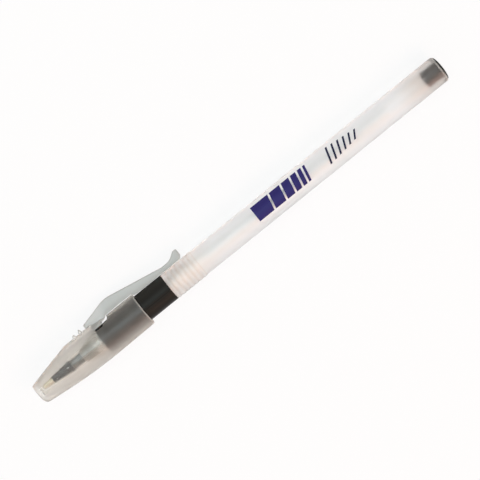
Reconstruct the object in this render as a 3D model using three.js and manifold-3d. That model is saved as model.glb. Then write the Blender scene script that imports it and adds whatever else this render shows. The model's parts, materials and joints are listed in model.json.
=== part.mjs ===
// A disposable ballpoint pen with its cap on, lying on a table.
// Millimetres, +Z up. The pen's axis is level and runs along X, with the capped point towards +X.
// The pen is built in its own axes and then laid down: +Y runs along the pen from the cap's
// tip to the tail, +X points out through the pocket clip, and Z runs across the clip.
import * as THREE from "three";
import { mergeVertices } from "three/addons/utils/BufferGeometryUtils.js";
import Module from "manifold-3d";

const wasm = await Module();
wasm.setup();

// Facets round each piece. Nested pieces share a count, so that their facets lie parallel.
const bodySides = 32;
const refillSides = 24;
const ballSides = 16;
const ballRings = 12;

// Clearances
const pressFit = 0.03;
const tubeFit = 0.05;
const faceGap = 0.05;
const capFit = 0.12;
const collarFit = 0.17;
const ballFit = 0.03;
const tipRoom = 0.8;
const clipRootGap = 0.15;
const clipRideGap = 0.1;

// Writing ball and its brass socket
const ballRadius = 0.5;
const ballReach = 0.28;
const lipFit = 0.035;
const socketRimWall = 0.1;
const socketFloorWall = 0.15;
const brassConeLength = 3.4;
const brassShoulderRadius = 0.95;
const brassStemRadius = 0.58;
const brassStemLength = 3.6;
const inkChannelRadius = 0.2;

// Point holder: the dark cone between the brass and the ink tube
const holderLength = 7.0;
const holderFrontRadius = 1.05;
const holderRearRadius = 1.7;
const holderPlugLength = 4.2;
const holderBoreRadius = 0.35;

// Ink tube
const tubeRadius = 1.5;
const tubeWall = 0.5;
const bareTubeLength = 3.6;
const tubeTailRoom = 14;
const inkEndRoom = 16;

// Nose cone: the pale cone that centres the tube in the section
const coneLength = 5.2;
const coneLipWall = 0.22;
const collarLength = 2.2;
const collarRadius = 3.45;
const coneSpigotRadius = 2.3;
const coneSpigotLength = 6;

// Black section: its front is the cap's seat, and its rear stays in sight
const seatLength = 14.6;
const seatRadius = 3.82;
const gripLength = 9.65;
const gripRadius = 4.2;
const sectionBoreRadius = 1.75;
const edgeRound = 0.25;

// Barrel, with a nose that plugs into the section's rear
const barrelLength = 99.05;
const barrelRadius = 4.1;
const barrelWall = 1.5;
const noseLength = 9;
const noseRadius = 2.9;
const noseWall = 0.95;
const ringCount = 7;
const ringPitch = 1.54;
const ringRadius = 4.28;
const ringCrest = 0.7;

// Tail plug
const plugHeadRadius = 3.7;
const plugRimHeight = 0.25;
const plugDomeHeight = 0.45;
const plugStemLength = 5.5;
const plugWall = 0.9;

// Cap. Its outline differs between the clip's side and the far side.
const capEndWall = 1.4;
const capTipRadius = 2.4;
const capTipRound = 1.5;
const capFarShoulder = 4.1;
const capFarBulge = 5.62;
const capFarRim = 5.38;
const capBulgeAlong = 22.4;
const capTopRadius = 5.68;
const capTopSlope = 0.235;
const capBackRadius = 5.02;
const capRimRound = 0.35;
const capBoreTip = 2.3;
const capBoreWaist = 3.5;
const capBoreWaistAlong = 12;
const toothWidth = 1.05;
const toothHeights = [0.9, 1.2];
const toothSpacing = 2.15;
const toothToClip = 2.0;

// Pocket clip
const clipRootLength = 1.7;
const clipRootHeight = 6.85;
const crestHeight = 8.95;
const rootToCrest = 8.2;
const crestLength = 2.0;
const crestToDip = 17.4;
const dipHeight = 5.71;
const dipLength = 2.9;
const footRise = 2.5;
const footHeight = 7.32;
const footLength = 1.2;
const footUndercut = 0.7;
const footUndercutHeight = 5.2;
const clipRootWidth = 3.0;
const clipFootWidth = 2.4;
const clipEdge = 0.25;
const archHeight = 5.25;
const archRoom = 0.12;
const rampLength = 3;
const crestRound = 0.8;

// Slot under the clip's root, through the cap's wall from side to side. Its front runs low over
// the section, then it steps up to where the pen can be seen through, and its rear turns upwards.
const slotLength = 5.2;
const slotToStep = 2.85;
const slotStepRun = 0.3;
const slotToTurn = 4.25;
const slotFloorLow = 3.3;
const slotFloorHigh = 3.8;
const slotFloorEnd = 4.4;
const slotRoofHigh = 4.5;
const slotRoofEnd = 4.85;
const slotMouth = 0.45;

// Places along the pen, counted from the cap's tip
const ballFront = capEndWall + tipRoom;
const ballCentre = ballFront + ballRadius;
const brassRim = ballFront + ballReach;
const holderFront = brassRim + brassConeLength;
const tubeFront = holderFront + holderLength;
const coneFront = tubeFront + bareTubeLength;
const collarFront = coneFront + coneLength;
const sectionFront = collarFront + collarLength + faceGap;
const capRim = sectionFront + seatLength;
const gripFront = capRim + faceGap;
const barrelFront = gripFront + gripLength + faceGap;
const noseFront = barrelFront - noseLength;
const barrelEnd = barrelFront + barrelLength;
const plugFront = barrelEnd - plugStemLength;
const penEnd = barrelEnd + faceGap + plugRimHeight + plugDomeHeight;
const tubeEnd = plugFront - tubeTailRoom;
const inkFront = tubeFront + holderPlugLength + faceGap;
const inkEnd = tubeEnd - inkEndRoom;
const capStep = sectionFront - faceGap;
const slotStart = capStep;
const slotStep = slotStart + slotToStep;
const slotTurn = slotStart + slotToTurn;
const slotEnd = slotStart + slotLength;
const clipRoot = slotStart - clipRootLength;
const crestStart = clipRoot + rootToCrest;
const crestEnd = crestStart + crestLength;
const dipStart = crestEnd + crestToDip;
const dipEnd = dipStart + dipLength;
const footStart = dipEnd + footRise;
const clipEnd = footStart + footLength;

// Sizes that follow from the fits
const boreRadius = barrelRadius - barrelWall;
const plugStemRadius = boreRadius - pressFit;
const tubeBoreRadius = tubeRadius - tubeWall;
const coneBoreRadius = tubeRadius + tubeFit;
const capSeatRadius = seatRadius + capFit;
const capFrontBore = collarRadius + collarFit;
const clipUnderside = ringRadius + clipRideGap;
const slotRoofLow = seatRadius + clipRideGap;

// Widest half of the cap, which the pen lies on
const capBulge = (capFarBulge + capTopRadius) / 2;

/** Turns a closed geometry into a solid that can be joined and cut. */
function solidOf(geometry) {
  const bare = geometry.clone();
  bare.deleteAttribute("normal");
  bare.deleteAttribute("uv");
  const merged = mergeVertices(bare, 1e-4);
  return new wasm.Manifold(
    new wasm.Mesh({
      numProp: 3,
      vertProperties: new Float32Array(merged.attributes.position.array),
      triVerts: new Uint32Array(merged.index.array),
    }),
  );
}

/** Turns a solid back into a geometry. */
function geometryOf(solid) {
  const mesh = solid.getMesh();
  const geometry = new THREE.BufferGeometry();
  geometry.setAttribute("position", new THREE.BufferAttribute(mesh.vertProperties, 3));
  geometry.setIndex(new THREE.BufferAttribute(mesh.triVerts, 1));
  geometry.computeVertexNormals();
  return geometry;
}

/** Spins an outline of [radius, along] points round the pen's axis. */
function turned(outline, sides) {
  const points = outline.map(([radius, along]) => new THREE.Vector2(radius, along));
  return new THREE.LatheGeometry(points, sides);
}

/** Spins an outline that comes back to its first point, as a tube's wall does. */
function turnedTube(outline, sides) {
  return turned([...outline, outline[0]], sides);
}

/** Points of a quarter circle from one [radius, along] point to another, bulging to the corner. */
function roundedEdge(from, corner, to, steps) {
  const vectors = [from, corner, to].map(([radius, along]) => new THREE.Vector2(radius, along));
  const curve = new THREE.QuadraticBezierCurve(...vectors);
  return curve.getPoints(steps).map((point) => [point.x, point.y]);
}

/** A flat outline in the clip's plane, given as [height, along], made as wide as stated. */
function slab(shape, width, bevel) {
  const geometry = new THREE.ExtrudeGeometry(shape, {
    depth: width - 2 * bevel,
    bevelEnabled: bevel > 0,
    bevelThickness: bevel,
    bevelSize: bevel,
    bevelOffset: -bevel,
    bevelSegments: 1,
    curveSegments: 5,
  });
  geometry.translate(0, 0, bevel - width / 2);
  return geometry;
}

/** A shape from straight [height, along] corners. */
function cornered(points) {
  return new THREE.Shape(points.map(([height, along]) => new THREE.Vector2(height, along)));
}

/** The steel ball that writes. */
function writingBall() {
  const geometry = new THREE.SphereGeometry(ballRadius, ballSides, ballRings);
  geometry.translate(0, ballCentre, 0);
  return geometry;
}

/** The brass socket: a cone whose lip holds the ball, a stem, and the ink's channel. */
function brassTip() {
  const socketRadius = ballRadius + ballFit;
  const lipAlong = ballCentre - brassRim;
  const lipRadius = Math.sqrt(ballRadius ** 2 - lipAlong ** 2) + lipFit;
  const socketFloor = ballCentre + ballRadius + ballFit;
  const stemEnd = holderFront + brassStemLength;
  return turnedTube(
    [
      [lipRadius, brassRim],
      [lipRadius + socketRimWall, brassRim],
      [socketRadius + socketFloorWall, ballCentre],
      [brassShoulderRadius, holderFront - faceGap],
      [brassStemRadius, holderFront - faceGap],
      [brassStemRadius, stemEnd],
      [inkChannelRadius, stemEnd],
      [inkChannelRadius, socketFloor],
      [socketRadius, socketFloor],
      [socketRadius, ballCentre],
    ],
    ballSides,
  );
}

/** The dark cone that carries the brass and plugs the ink tube. */
function pointHolder() {
  const plugRadius = tubeBoreRadius - pressFit;
  const plugEnd = tubeFront + holderPlugLength;
  const stemBore = brassStemRadius + pressFit;
  const stemFloor = holderFront + brassStemLength + faceGap;
  return turnedTube(
    [
      [stemBore, holderFront],
      [holderFrontRadius, holderFront],
      ...roundedEdge(
        [holderRearRadius, tubeFront - faceGap - edgeRound],
        [holderRearRadius, tubeFront - faceGap],
        [holderRearRadius - edgeRound, tubeFront - faceGap],
        2,
      ),
      [plugRadius, tubeFront - faceGap],
      [plugRadius, plugEnd],
      [holderBoreRadius, plugEnd],
      [holderBoreRadius, stemFloor],
      [stemBore, stemFloor],
    ],
    refillSides,
  );
}

/** The plastic tube that holds the ink, open at the tail. */
function inkTube() {
  return turnedTube(
    [
      [tubeBoreRadius, tubeFront],
      [tubeRadius, tubeFront],
      [tubeRadius, tubeEnd],
      [tubeBoreRadius, tubeEnd],
    ],
    refillSides,
  );
}

/** The ink in the tube. */
function inkColumn() {
  const radius = tubeBoreRadius - pressFit;
  return turned(
    [
      [0, inkFront],
      [radius, inkFront],
      [radius, inkEnd],
      [0, inkEnd],
    ],
    refillSides,
  );
}

/** The pale cone that centres the tube: a cone, a collar and a spigot in the section. */
function noseCone() {
  const spigotEnd = sectionFront + coneSpigotLength;
  return turnedTube(
    [
      [coneBoreRadius, coneFront],
      [coneBoreRadius + coneLipWall, coneFront],
      [collarRadius, collarFront],
      [collarRadius, sectionFront - faceGap],
      [coneSpigotRadius, sectionFront - faceGap],
      [coneSpigotRadius, spigotEnd],
      [coneBoreRadius, spigotEnd],
    ],
    bodySides,
  );
}

/** The black section: the cap's seat, the grip in sight, and a socket in each end. */
function frontSection() {
  const coneSocketRadius = coneSpigotRadius + pressFit;
  const coneSocketFloor = sectionFront + coneSpigotLength + faceGap;
  const noseSocketRadius = noseRadius + pressFit;
  const noseSocketFloor = noseFront - faceGap;
  const gripEnd = gripFront + gripLength;
  return turnedTube(
    [
      [coneSocketRadius, sectionFront],
      ...roundedEdge(
        [seatRadius - edgeRound, sectionFront],
        [seatRadius, sectionFront],
        [seatRadius, sectionFront + edgeRound],
        2,
      ),
      [seatRadius, gripFront],
      [gripRadius, gripFront],
      [gripRadius, gripEnd],
      [noseSocketRadius, gripEnd],
      [noseSocketRadius, noseSocketFloor],
      [sectionBoreRadius, noseSocketFloor],
      [sectionBoreRadius, coneSocketFloor],
      [coneSocketRadius, coneSocketFloor],
    ],
    bodySides,
  );
}

/** The rings round the barrel's front, each a low ridge with sloping sides. */
function ringOutline() {
  const slope = (ringPitch - ringCrest) / 2;
  const outline = [];
  for (let ring = 0; ring < ringCount; ring += 1) {
    const start = barrelFront + ring * ringPitch;
    outline.push([barrelRadius, start]);
    outline.push([ringRadius, start + slope]);
    outline.push([ringRadius, start + slope + ringCrest]);
  }
  outline.push([barrelRadius, barrelFront + ringCount * ringPitch]);
  return outline;
}

/** The frosted barrel: its nose, the rings round its front, and an open tail. */
function barrel() {
  const noseBoreRadius = noseRadius - noseWall;
  const boreFloor = barrelFront + barrelWall;
  return turnedTube(
    [
      [noseBoreRadius, noseFront],
      [noseRadius, noseFront],
      [noseRadius, barrelFront],
      ...ringOutline(),
      ...roundedEdge(
        [barrelRadius, barrelEnd - edgeRound],
        [barrelRadius, barrelEnd],
        [barrelRadius - edgeRound, barrelEnd],
        2,
      ),
      [boreRadius, barrelEnd],
      [boreRadius, boreFloor],
      [noseBoreRadius, boreFloor],
    ],
    bodySides,
  );
}

/** The black tail plug: a domed head on a hollow stem. */
function tailPlug() {
  const headFloor = barrelEnd + faceGap;
  const domeStart = headFloor + plugRimHeight;
  const hollowRadius = plugStemRadius - plugWall;
  return turned(
    [
      [0, headFloor],
      [hollowRadius, headFloor],
      [hollowRadius, plugFront],
      [plugStemRadius - edgeRound, plugFront],
      [plugStemRadius, plugFront + edgeRound],
      [plugStemRadius, headFloor],
      [plugHeadRadius, headFloor],
      ...roundedEdge([plugHeadRadius, domeStart], [plugHeadRadius * 0.6, penEnd], [0, penEnd], 5),
    ],
    bodySides,
  );
}

/** Distance of the cap's outside from the axis on the side away from the clip. */
function capFarSide(along) {
  if (along < capTipRound) {
    const back = 1 - along / capTipRound;
    return capTipRadius + (capFarShoulder - capTipRadius) * Math.sqrt(1 - back ** 2);
  }
  if (along < capBulgeAlong) {
    const part = (along - capTipRound) / (capBulgeAlong - capTipRound);
    return capFarShoulder + (capFarBulge - capFarShoulder) * Math.sin((part * Math.PI) / 2);
  }
  const part = (along - capBulgeAlong) / (capRim - capBulgeAlong);
  return capFarBulge - (capFarBulge - capFarRim) * part ** 2;
}

/** Distance of the cap's outside from the axis on the clip's side. */
function capClipSide(along) {
  const back = THREE.MathUtils.clamp((along - slotStart) / (slotEnd - slotStart), 0, 1);
  const slope = capTipRadius + capTopSlope * along;
  return Math.min(slope, THREE.MathUtils.lerp(capTopRadius, capBackRadius, back));
}

/** The places along the cap where its outside has a ring of points. */
function capStations() {
  const tipSteps = 4;
  const bodyStep = 1.55;
  const stations = [];
  for (let step = 0; step < tipSteps; step += 1) {
    stations.push(capTipRound * (1 - Math.cos((step / tipSteps) * (Math.PI / 2))));
  }
  const bodyEnd = capRim - capRimRound;
  const bodySteps = Math.ceil((bodyEnd - capTipRound) / bodyStep);
  for (let step = 0; step <= bodySteps; step += 1) {
    stations.push(capTipRound + ((bodyEnd - capTipRound) * step) / bodySteps);
  }
  return stations;
}

/** The cap's outside as one full solid: rings whose centres drift off the pen's axis. */
function capOutside() {
  const middle = (along) => (capClipSide(along) + capFarSide(along)) / 2;
  const rimStart = capRim - capRimRound;
  const outline = [
    [0, 0],
    ...capStations().map((along) => [middle(along), along]),
    ...roundedEdge(
      [middle(rimStart), rimStart],
      [middle(capRim), capRim],
      [middle(capRim) - capRimRound, capRim],
      3,
    ).slice(1),
    [0, capRim],
  ];
  const geometry = turned(outline, bodySides);
  const position = geometry.attributes.position;
  for (let index = 0; index < position.count; index += 1) {
    const along = position.getY(index);
    const drift = (capClipSide(along) - capFarSide(along)) / 2;
    position.setX(index, position.getX(index) + drift);
  }
  return geometry;
}

/** The cap's hollow: a narrow nose, a step that stops the section, and the seat. */
function capHollow() {
  const beyond = 1;
  return turned(
    [
      [0, capEndWall],
      [capBoreTip, capEndWall],
      [capBoreWaist, capBoreWaistAlong],
      [capFrontBore, capStep],
      [capSeatRadius, capStep],
      [capSeatRadius, capRim + beyond],
      [0, capRim + beyond],
    ],
    bodySides,
  );
}

/** A small pointed tooth across the cap, on the clip's side. */
function capTooth(along, height) {
  const foot = capTopRadius - edgeRound;
  const tooth = cornered([
    [foot, along - toothWidth / 2],
    [capTopRadius + height, along],
    [foot, along + toothWidth / 2],
  ]);
  return slab(tooth, clipRootWidth, 0);
}

/** The slot's floor in the cap's wall, as [height, along] points from its front to its rear. */
function slotFloor() {
  return [
    [slotFloorLow, slotStart],
    [slotFloorLow, slotStep],
    [slotFloorHigh, slotStep + slotStepRun],
    [slotFloorHigh, slotTurn],
    [slotFloorEnd, slotEnd],
  ];
}

/** The slot's roof, which is the underside of the clip's tongue, from its front to its rear. */
function slotRoof() {
  const lag = slotStepRun / 2;
  return [
    [slotRoofLow, slotStart + clipRootGap],
    [slotRoofLow, slotStep - lag],
    [slotRoofHigh, slotStep + lag],
    [slotRoofHigh, slotTurn - lag],
    [slotRoofEnd, slotEnd - slotMouth],
  ];
}

/** The cap: its outside, less the hollow and the slot, with the teeth in front of the clip. */
function cap() {
  const beyond = 12;
  const slot = cornered([...slotFloor(), [beyond, slotEnd], [beyond, slotStart]]);
  let body = solidOf(capOutside());
  toothHeights.forEach((height, index) => {
    const fromClip = toothToClip + (toothHeights.length - 1 - index) * toothSpacing;
    body = body.add(solidOf(capTooth(clipRoot - fromClip, height)));
  });
  body = body.subtract(solidOf(capHollow()));
  body = body.subtract(solidOf(slab(slot, 2 * beyond, 0)));
  return geometryOf(body);
}

/** The clip's blade seen from the side: root, crest, straight fall, dip and raised foot. */
function clipBlade() {
  const rootFloor = capTopRadius + clipRootGap;
  const archStart = capBackRadius + archRoom;
  const shape = new THREE.Shape();
  shape.moveTo(rootFloor, clipRoot);
  shape.lineTo(clipRootHeight, clipRoot);
  shape.lineTo(crestHeight - clipEdge, crestStart - crestRound);
  shape.quadraticCurveTo(crestHeight, crestStart, crestHeight, crestStart + crestRound);
  shape.quadraticCurveTo(crestHeight, crestEnd, crestHeight - clipEdge, crestEnd + crestRound);
  shape.lineTo(dipHeight, dipStart);
  shape.quadraticCurveTo(dipHeight, dipEnd, footHeight, footStart);
  shape.lineTo(footHeight, clipEnd);
  shape.lineTo(footUndercutHeight, clipEnd);
  shape.lineTo(clipUnderside, clipEnd - footUndercut);
  shape.lineTo(clipUnderside, capRim + rampLength);
  shape.lineTo(archStart, capRim);
  shape.quadraticCurveTo(archHeight, crestEnd, archStart, slotEnd);
  for (const [height, along] of slotRoof().reverse()) {
    shape.lineTo(height, along);
  }
  shape.lineTo(rootFloor, slotStart + clipRootGap);
  shape.closePath();
  const blade = slab(shape, clipRootWidth, clipEdge);
  const position = blade.attributes.position;
  for (let index = 0; index < position.count; index += 1) {
    const part = (position.getY(index) - clipRoot) / (clipEnd - clipRoot);
    const narrowing = THREE.MathUtils.lerp(1, clipFootWidth / clipRootWidth, part);
    position.setZ(index, position.getZ(index) * narrowing);
  }
  return blade;
}

/** The pocket clip: the blade, and the tongue of the cap's wall that it grows from. */
function pocketClip() {
  const beyond = 12;
  const tongue = cornered([
    ...slotRoof(),
    [beyond, slotEnd - slotMouth],
    [beyond, slotStart + clipRootGap],
  ]);
  const wings = solidOf(capOutside()).intersect(solidOf(slab(tongue, 2 * beyond, 0)));
  return geometryOf(wings.add(solidOf(clipBlade())));
}

/** A plastic or metal finish. */
function finish(color, roughness, metalness = 0) {
  return new THREE.MeshStandardMaterial({ color, roughness, metalness });
}

const frostedBarrel = finish(0xe9e7e4, 0.45);
const frostedCap = finish(0xcfcbc6, 0.4);
const palePlastic = finish(0xb9b9b4, 0.4);
const blackPlastic = finish(0x1d1c1b, 0.35);
const darkPlastic = finish(0x262728, 0.4);
const blackInk = finish(0x08080c, 0.2);
const brass = finish(0xb98d4a, 0.3, 1);
const steel = finish(0xc2c4c6, 0.15, 1);

const pieces = [
  ["cap", cap(), frostedCap],
  ["pocket_clip", pocketClip(), frostedCap],
  ["barrel", barrel(), frostedBarrel],
  ["tail_plug", tailPlug(), blackPlastic],
  ["front_section", frontSection(), blackPlastic],
  ["nose_cone", noseCone(), palePlastic],
  ["ink_tube", inkTube(), palePlastic],
  ["ink_column", inkColumn(), blackInk],
  ["point_holder", pointHolder(), darkPlastic],
  ["brass_tip", brassTip(), brass],
  ["writing_ball", writingBall(), steel],
];

const pen = new THREE.Group();
for (const [name, geometry, material] of pieces) {
  const mesh = new THREE.Mesh(geometry, material.clone());
  mesh.name = name;
  pen.add(mesh);
}

// The pen lies on the cap's widest ring and on the clip's lower edge at the crest, so the
// clip dips below level by the angle at which both touch the table.
const crestPart = (crestEnd - clipRoot) / (clipEnd - clipRoot);
const crestHalfWidth = THREE.MathUtils.lerp(clipRootWidth, clipFootWidth, crestPart) / 2;
const crestShoulder = crestHeight - clipEdge;
const crestReach = Math.hypot(crestShoulder, crestHalfWidth);
const clipDip = Math.asin(capBulge / crestReach) - Math.atan2(crestHalfWidth, crestShoulder);
const clipDirection = new THREE.Vector3(0, -Math.cos(clipDip), -Math.sin(clipDip));
const tailDirection = new THREE.Vector3(-1, 0, 0);
const acrossDirection = new THREE.Vector3().crossVectors(clipDirection, tailDirection);
const lying = new THREE.Matrix4().makeBasis(clipDirection, tailDirection, acrossDirection);
pen.quaternion.setFromRotationMatrix(lying);
pen.updateMatrixWorld(true);

// The origin is under the middle of the pen's box, on the table.
const box = new THREE.Box3().setFromObject(pen, true);
const middle = box.getCenter(new THREE.Vector3());
pen.position.set(-middle.x, -middle.y, -box.min.z);

const part = new THREE.Group();
part.add(pen);

export default part;
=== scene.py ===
"""Dresses a capped disposable ballpoint pen: mouldings, frosted plastics, print, studio and camera.

Shapes are worked out in the pen's own axes, in millimetres: height towards the clip, place along the pen
from the cap's tip to the tail, and distance across the clip. PenAxes carries them into the model's frame.
CREASE is the angle from which an edge is shaded sharp, STRAIGHT the half angle from which a corner isn't
rounded, NEAR_AXIS a radius that stands for the axis, and BEYOND a distance that lies outside the pen.
"""

import json
import logging
import math
from dataclasses import dataclass
from enum import Enum
from functools import cache

import bpy
import numpy as np
from bpy.types import ID, Material, Mesh, Node, NodeOutputs, NodeSocket, NodeTree, Object
from mathutils import Matrix, Vector


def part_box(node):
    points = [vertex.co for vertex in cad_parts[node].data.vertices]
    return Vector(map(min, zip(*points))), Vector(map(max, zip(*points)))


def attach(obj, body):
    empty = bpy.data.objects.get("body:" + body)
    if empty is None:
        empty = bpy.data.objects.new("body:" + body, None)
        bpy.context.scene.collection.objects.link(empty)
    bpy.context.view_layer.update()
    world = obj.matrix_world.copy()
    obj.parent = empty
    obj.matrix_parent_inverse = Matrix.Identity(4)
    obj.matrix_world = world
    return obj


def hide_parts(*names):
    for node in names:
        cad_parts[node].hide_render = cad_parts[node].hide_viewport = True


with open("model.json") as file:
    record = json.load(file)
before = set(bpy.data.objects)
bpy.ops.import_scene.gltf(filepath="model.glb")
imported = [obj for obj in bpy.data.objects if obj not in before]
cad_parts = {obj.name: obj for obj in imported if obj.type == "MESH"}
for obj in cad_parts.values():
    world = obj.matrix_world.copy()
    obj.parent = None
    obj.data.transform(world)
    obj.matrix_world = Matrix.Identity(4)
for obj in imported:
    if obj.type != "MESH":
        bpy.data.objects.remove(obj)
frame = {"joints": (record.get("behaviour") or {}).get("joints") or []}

LOG = logging.getLogger("pen")
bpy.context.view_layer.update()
MM = 0.001
CREASE = math.radians(32)
STRAIGHT = math.radians(88)
ARC_SHARE = 0.48
NEAR_AXIS = 0.02
BEYOND = 12.0
BEAD_STEPS = 10
BEAD_SIDES = 144
WHITE = (1.0, 1.0, 1.0)
Array = np.ndarray
Colour = tuple[float, float, float]
Row = tuple[float, float, float]


class Corner(float, Enum):
    """How crisp a moulded edge is, as a radius in millimetres."""

    KEEN = 0.04
    CRISP = 0.08
    SOFT = 0.2


class Body(Enum):
    """The rigid bodies that pieces ride on."""

    PEN = "pen"
    CAP = "cap"
    CLIP = "clip"
    BALL = "ball"


@dataclass(frozen=True)
class PenAxes:
    """The pen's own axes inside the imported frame.

    Args:
        tip: centre of the cap's flat tip, in metres.
        out: unit vector towards the clip.
        along: unit vector from the cap's tip to the tail.
        across: unit vector across the clip.
    """

    tip: Array
    out: Array
    along: Array
    across: Array

    @classmethod
    def from_frame(cls, joints: list[dict]) -> "PenAxes":
        """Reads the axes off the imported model.

        Args:
            joints: the frame's joints. The clip's hinge lies across the pen, and the cap slides along it.

        Returns:
            The pen's axes.
        """
        named = {joint["name"]: joint for joint in joints}
        across = -unit(np.array(named["clip_flex"]["axis"], float))
        along = -unit(np.array(named["cap_pull"]["axis"], float))
        barrel_low, barrel_high = (np.array(corner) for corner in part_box("barrel"))
        tip = (barrel_low + barrel_high) / 2
        tip[0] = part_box("cap")[1][0]
        return cls(tip, np.cross(along, across), along, across)

    def to_frame(self, points: Array) -> Array:
        """Carries points from the pen's axes to the frame.

        Args:
            points: an array whose last axis holds height, along and across, in millimetres.

        Returns:
            The same array in the frame, in metres.
        """
        basis = np.stack([self.out, self.along, self.across])
        return self.tip + (points * MM) @ basis

    def span(self, node: str) -> tuple[float, float]:
        """Finds where a CAD node lies along the pen.

        Args:
            node: the node's name.

        Returns:
            Its first and last place, in millimetres.
        """
        low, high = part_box(node)
        places = sorted((np.array(corner) - self.tip) @ self.along / MM for corner in (low, high))
        return float(places[0]), float(places[1])


def unit(vector: Array) -> Array:
    """A vector scaled to length 1."""
    return vector / np.linalg.norm(vector)


AXES = PenAxes.from_frame(frame["joints"])


def filleted(rows: list[Row], closed: bool = True, steps: int = 5) -> Array:
    """Rounds the corners of an outline with arcs that touch both edges.

    At each corner the arc's ends lie a distance radius / tan(half the corner's angle) from it, at most
    ARC_SHARE of the shorter edge, and its points follow the circle that touches both edges there.

    Args:
        rows: (height, along, rounding) of each corner in order. A rounding of zero leaves it sharp.
        closed: whether the last corner joins the first.
        steps: segments in each arc.

    Returns:
        The rounded outline as an array of (height, along) rows.
    """
    points = np.array([row[:2] for row in rows], float)
    rounded: list[Array] = []
    for index, (point, (_, _, radius)) in enumerate(zip(points, rows)):
        ends = (index == 0 or index == len(points) - 1) and not closed
        if radius <= 0 or ends:
            rounded.append(point[None])
            continue
        before, after = points[index - 1], points[(index + 1) % len(points)]
        into, away = before - point, after - point
        reach = min(np.linalg.norm(into), np.linalg.norm(away)) * ARC_SHARE
        into, away = unit(into), unit(away)
        half = math.acos(float(np.clip(into @ away, -1, 1))) / 2
        if half > STRAIGHT:
            rounded.append(point[None])
            continue
        reach = min(reach, radius / math.tan(half))
        size = reach * math.tan(half)
        centre = point + unit(into + away) * (size / math.sin(half))
        start, end = point + into * reach - centre, point + away * reach - centre
        turn = math.atan2(start[0] * end[1] - start[1] * end[0], start @ end)
        angles = np.linspace(0, turn, steps + 1)
        cos, sin = np.cos(angles), np.sin(angles)
        arc = [start[0] * cos - start[1] * sin, start[0] * sin + start[1] * cos]
        rounded.append(centre + np.stack(arc, axis=1))
    return np.concatenate(rounded)


def sharp(radius: Array, place: Array) -> list[Row]:
    """Corners without rounding.

    Args:
        radius: how far each lies from the axis.
        place: where each lies along the pen.

    Returns:
        (radius, along, rounding) rows.
    """
    return np.column_stack([radius, place, 0 * place]).tolist()


def refined(outline: Array, longest: float, closed: bool) -> Array:
    """Splits an outline's long edges, so that faces on it stay short.

    Args:
        outline: (height, along) rows.
        longest: the longest edge to keep, in millimetres.
        closed: whether the last point joins the first.

    Returns:
        The outline with the extra points in place.
    """
    pieces: list[Array] = []
    following = np.roll(outline, -1, axis=0)
    count = len(outline) if closed else len(outline) - 1
    for start, end in zip(outline[:count], following[:count]):
        parts = max(1, math.ceil(np.linalg.norm(end - start) / longest))
        share = np.arange(parts)[:, None] / parts
        pieces.append(start + (end - start) * share)
    if not closed:
        pieces.append(outline[-1:])
    return np.concatenate(pieces)


def ring_faces(rows: int, columns: int, closed: bool) -> Array:
    """Quads of a grid whose columns wrap round, and whose rows do too if closed.

    Args:
        rows: rings of points.
        columns: points in each ring.
        closed: whether the last ring joins the first.

    Returns:
        An array of four vertex numbers for each face.
    """
    row = np.arange(rows if closed else rows - 1)[:, None]
    column = np.arange(columns)[None]
    next_row, next_column = (row + 1) % rows, (column + 1) % columns
    corners = [(row, column), (row, next_column), (next_row, next_column), (next_row, column)]
    return np.stack([r * columns + c for r, c in corners], axis=-1).reshape(-1, 4)


def outward(points: Array, faces: list[list[int]]) -> list[list[int]]:
    """Turns all faces round if they enclose a negative volume.

    Six times the volume is the sum of a . (b x c) over the triangles a, b, c that the faces fan out into.

    Args:
        points: vertex positions.
        faces: vertex numbers of each face.

    Returns:
        The faces, pointing outwards.
    """
    volume = 0.0
    for size in {len(face) for face in faces}:
        same = np.array([face for face in faces if len(face) == size])
        first = points[same[:, 0]]
        for corner in range(1, size - 1):
            second, third = points[same[:, corner]], points[same[:, corner + 1]]
            volume += float(np.einsum("ij,ij->i", first, np.cross(second, third)).sum())
    return faces if volume > 0 else [face[::-1] for face in faces]


def placed(name: str, data: ID) -> Object:
    """Adds an object to the scene.

    Args:
        name: the object's name.
        data: its mesh, light or camera.

    Returns:
        The new object.
    """
    thing = bpy.data.objects.new(name, data)
    bpy.context.scene.collection.objects.link(thing)
    return thing


def smooth(mesh: Mesh) -> None:
    """Shades a mesh smooth but for the edges that are sharper than CREASE."""
    mesh.shade_smooth()
    mesh.set_sharp_from_angle(angle=CREASE)


def mesh_object(name: str, points: Array, faces: list[list[int]]) -> Object:
    """Makes an object of vertices and faces.

    Args:
        name: the piece's name.
        points: (height, along, across) rows, in millimetres.
        faces: vertex numbers of each face.

    Returns:
        The new object, in the frame.
    """
    places = AXES.to_frame(points)
    mesh = bpy.data.meshes.new(name)
    mesh.from_pydata(places.tolist(), [], outward(places, faces))
    mesh.validate()
    smooth(mesh)
    return placed(name, mesh)


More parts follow.
